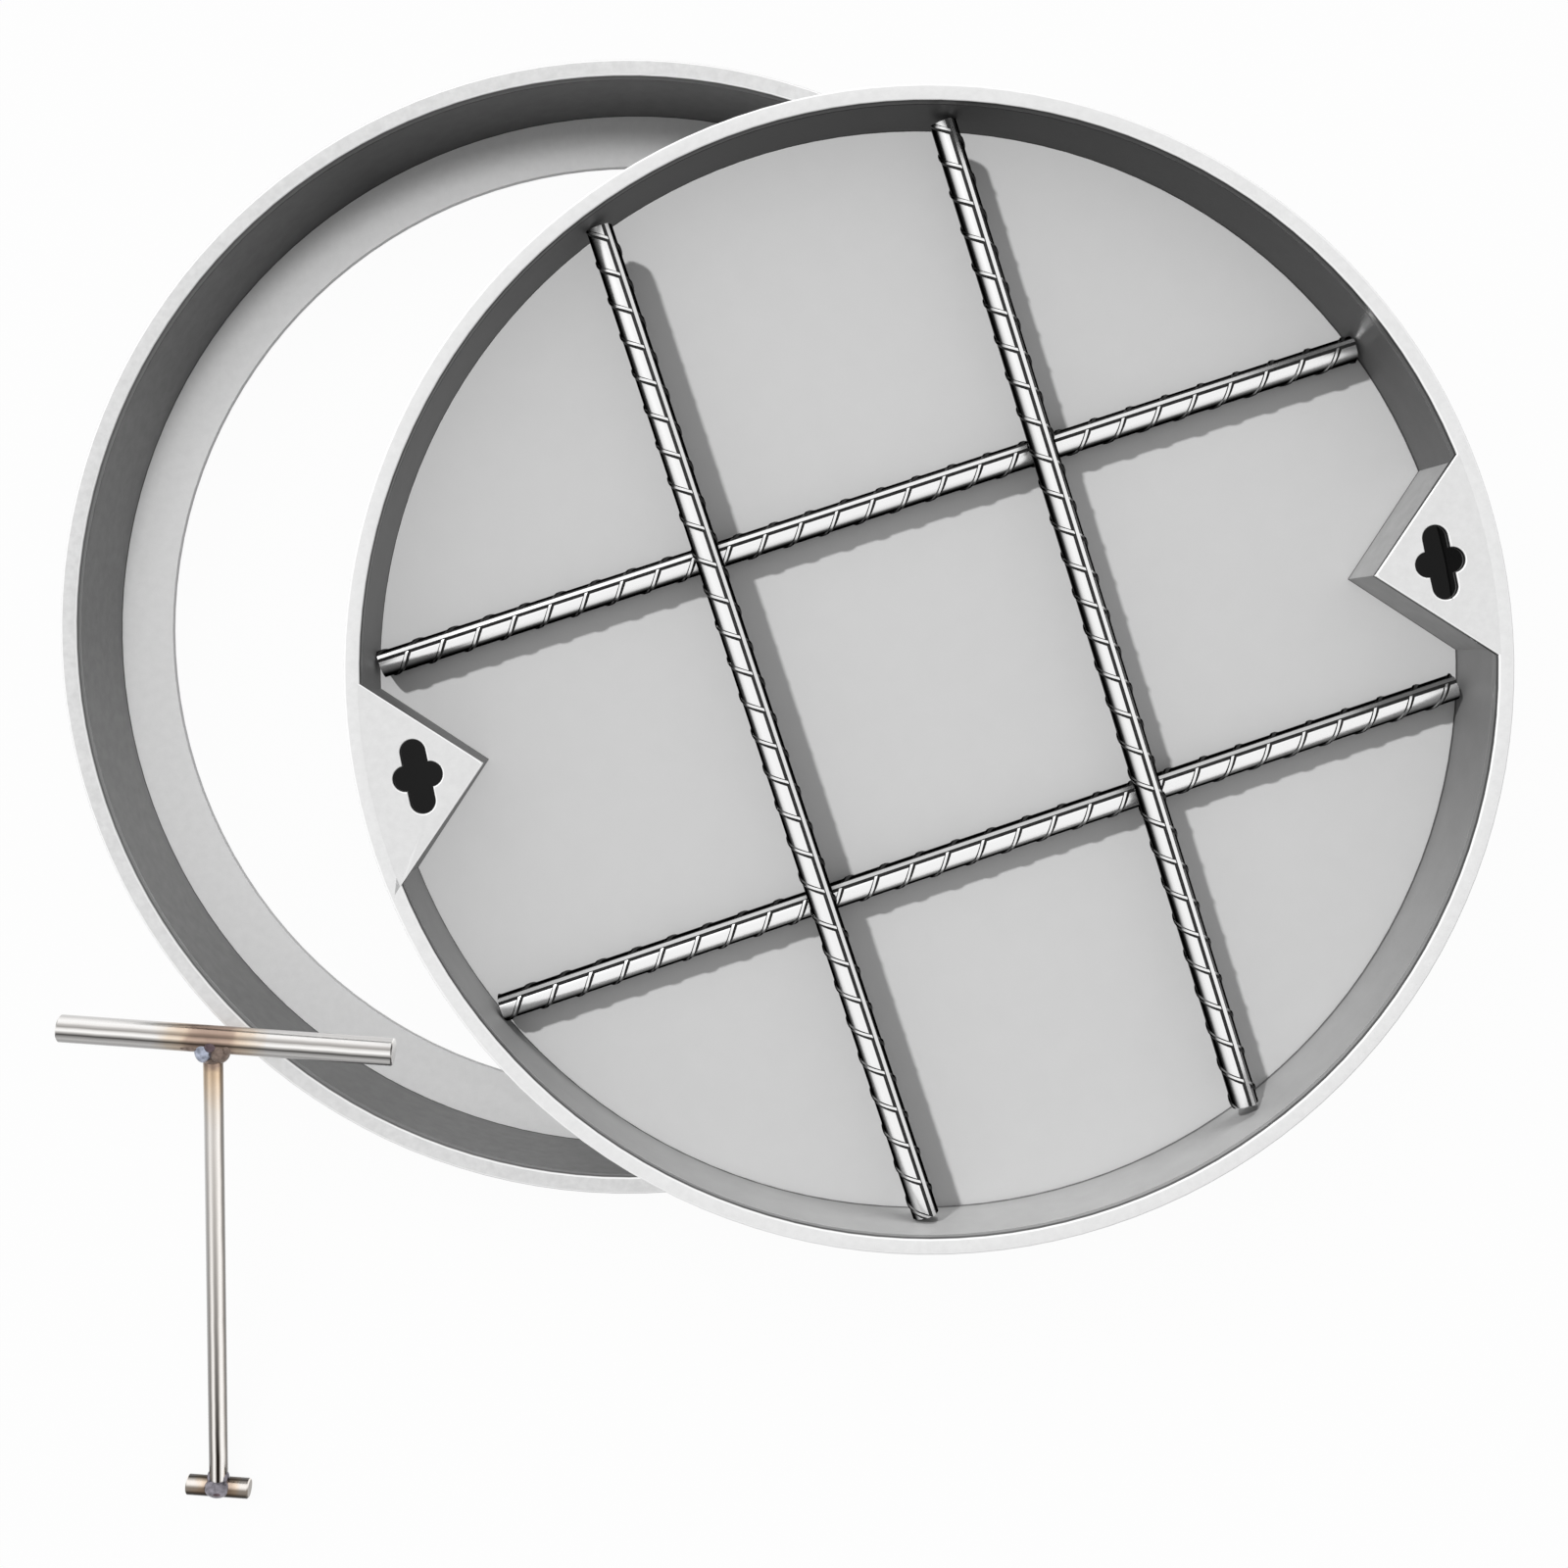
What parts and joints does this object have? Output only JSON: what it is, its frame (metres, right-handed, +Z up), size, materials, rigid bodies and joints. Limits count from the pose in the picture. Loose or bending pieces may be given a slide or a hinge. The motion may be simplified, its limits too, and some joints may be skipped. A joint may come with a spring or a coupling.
{
  "type": "recessed access cover",
  "caption": "Round recessed access cover: tray with ribbed reinforcing grid and two keyhole pockets, seat frame, T-shaped lifting key.",
  "frame": {"origin": "centre of the frame, on the surface that it stands on", "axes": "+Z up, +X along the line through the cover's two lifting pockets"},
  "size_m": [0.6496, 0.6145, 0.124],
  "materials": {
    "frame_steel": "fine brushed stainless steel",
    "cover_steel": "fine brushed stainless steel",
    "floor_steel": "matt pickled stainless sheet",
    "bar_steel": "bright ribbed stainless bar",
    "key_steel": "polished round stainless bar",
    "weld_steel": "cleaned weld",
    "tinted_weld": "weld with heat tint, straw to blue"
  },
  "bodies": {
    "frame": {"frame_rim": "frame_steel", "frame_wall": "frame_steel", "frame_seat_ring": "frame_steel", "frame_rim_weld": "weld_steel", "frame_seat_weld": "weld_steel"},
    "cover": {"cover_rim": "cover_steel", "cover_wall": "cover_steel", "cover_floor": "floor_steel", "cover_rim_weld": "weld_steel", "stiffener_1": "cover_steel", "stiffener_2": "cover_steel", "stiffener_3": "cover_steel", "pocket_plate_right": "cover_steel", "pocket_plate_left": "cover_steel", "pocket_wall_right": "cover_steel", "pocket_wall_left": "cover_steel", "bar_lower_1": "bar_steel", "bar_lower_2": "bar_steel", "bar_upper_1": "bar_steel", "bar_upper_2": "bar_steel"},
    "key": {"key_handle": "key_steel", "key_stem": "key_steel", "key_foot": "key_steel", "key_handle_weld": "tinted_weld", "key_foot_weld": "tinted_weld"}
  },
  "joints": [
    {"name": "cover_lift", "type": "slide", "parent": "frame", "child": "cover", "axis": [0, 0, 1], "range_m": [0, 0.3]},
    {"name": "key_lift", "type": "slide", "parent": "frame", "child": "key", "axis": [0, 0, 1], "range_m": [0, 0.3]}
  ]
}
